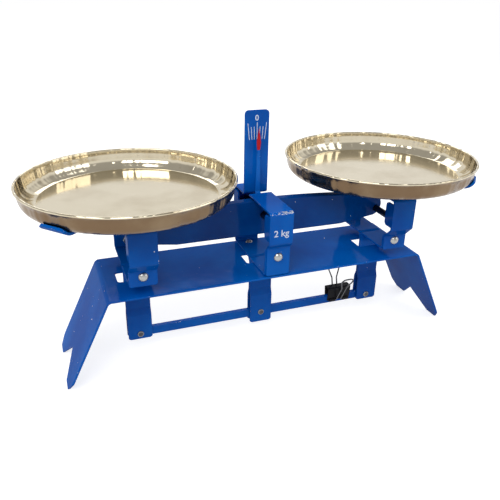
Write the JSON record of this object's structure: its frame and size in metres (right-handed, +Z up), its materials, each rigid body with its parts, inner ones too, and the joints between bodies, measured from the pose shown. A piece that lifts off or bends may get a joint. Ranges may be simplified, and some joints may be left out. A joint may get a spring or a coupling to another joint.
{
  "type": "roberval balance",
  "caption": "Two-pan counter balance with a pressed beam on knife edges, lower stay, hanging pan posts, dial plate with pointer and lift-off brass pans.",
  "frame": {"origin": "on the ground, under the fulcrum, centre of the base", "axes": "+X along the beam to the right pan, +Y to the back where the dial plate stands, +Z up"},
  "size_m": [0.464, 0.2, 0.241],
  "materials": {
    "blue_paint": "glossy",
    "pointer_paint": "glossy",
    "brass": "polished",
    "bright_screws": "polished",
    "plain_steel": "satin",
    "hard_steel": "satin",
    "black_enamel": "glossy",
    "black_wire": "glossy"
  },
  "bodies": {
    "stand": {"base_platform": "blue_paint", "fixed_strap_front": "blue_paint", "fixed_strap_rear": "blue_paint", "strap_screws": "bright_screws", "strap_nuts": "plain_steel", "front_bracket": "blue_paint", "dial_upright": "blue_paint", "stand_screws": "bright_screws", "stand_nuts": "plain_steel", "fulcrum_bearings": "hard_steel", "fulcrum_pin": "hard_steel"},
    "beam": {"beam": "blue_paint", "centre_knife_rod": "hard_steel", "end_knife_rods": "hard_steel", "pointer": "pointer_paint", "pointer_rivets": "plain_steel"},
    "left_carrier": {"left_post": "blue_paint", "left_strap_front": "blue_paint", "left_strap_rear": "blue_paint", "left_screws": "bright_screws", "left_nuts": "plain_steel", "left_bearings": "hard_steel", "left_pin": "hard_steel", "left_rest": "blue_paint", "left_rest_rivets": "blue_paint"},
    "right_carrier": {"right_post": "blue_paint", "right_strap_front": "blue_paint", "right_strap_rear": "blue_paint", "right_screws": "bright_screws", "right_nuts": "plain_steel", "right_bearings": "hard_steel", "right_pin": "hard_steel", "right_rest": "blue_paint", "right_rest_rivets": "blue_paint"},
    "left_pan": {"left_pan": "brass"},
    "right_pan": {"right_pan": "brass"},
    "stay": {"stay_bar": "blue_paint"},
    "clip": {"clip_body": "black_enamel"},
    "clip_front_handle": {"clip_handle_front": "black_wire"},
    "clip_rear_handle": {"clip_handle_rear": "black_wire"}
  },
  "joints": [
    {"name": "beam_tilt", "type": "hinge", "parent": "stand", "child": "beam", "pos_m": [0, 0, 0.137], "axis": [0, 1, 0], "range_deg": [-4.3, 4.3]},
    {"name": "left_post_swing", "type": "hinge", "parent": "beam", "child": "left_carrier", "pos_m": [-0.132, 0, 0.136], "axis": [0, 1, 0], "range_deg": [-4.3, 4.3]},
    {"name": "right_post_swing", "type": "hinge", "parent": "beam", "child": "right_carrier", "pos_m": [0.132, 0, 0.136], "axis": [0, 1, 0], "range_deg": [-4.3, 4.3]},
    {"name": "stay_tilt", "type": "hinge", "parent": "stand", "child": "stay", "pos_m": [0, 0, 0.026], "axis": [0, 1, 0], "range_deg": [-4.3, 4.3]},
    {"name": "left_pan_lift", "type": "slide", "parent": "left_carrier", "child": "left_pan", "axis": [0, 0, 1], "range_m": [0, 0.06]},
    {"name": "right_pan_lift", "type": "slide", "parent": "right_carrier", "child": "right_pan", "axis": [0, 0, 1], "range_m": [0, 0.06]},
    {"name": "clip_slide", "type": "slide", "parent": "stay", "child": "clip", "axis": [1, 0, 0], "range_m": [-0.062, 0.006]},
    {"name": "clip_front_handle_swing", "type": "hinge", "parent": "clip", "child": "clip_front_handle", "pos_m": [0.0965, -0.0042, 0.02403], "axis": [1, 0, 0], "range_deg": [-14, 76]},
    {"name": "clip_rear_handle_swing", "type": "hinge", "parent": "clip", "child": "clip_rear_handle", "pos_m": [0.0965, 0.0042, 0.02403], "axis": [-1, 0, 0], "range_deg": [0, 90]}
  ],
  "couplings": [
    {"joint": "left_post_swing", "follows": "beam_tilt", "ratio": -1},
    {"joint": "right_post_swing", "follows": "beam_tilt", "ratio": -1},
    {"joint": "stay_tilt", "follows": "beam_tilt", "ratio": 1}
  ]
}
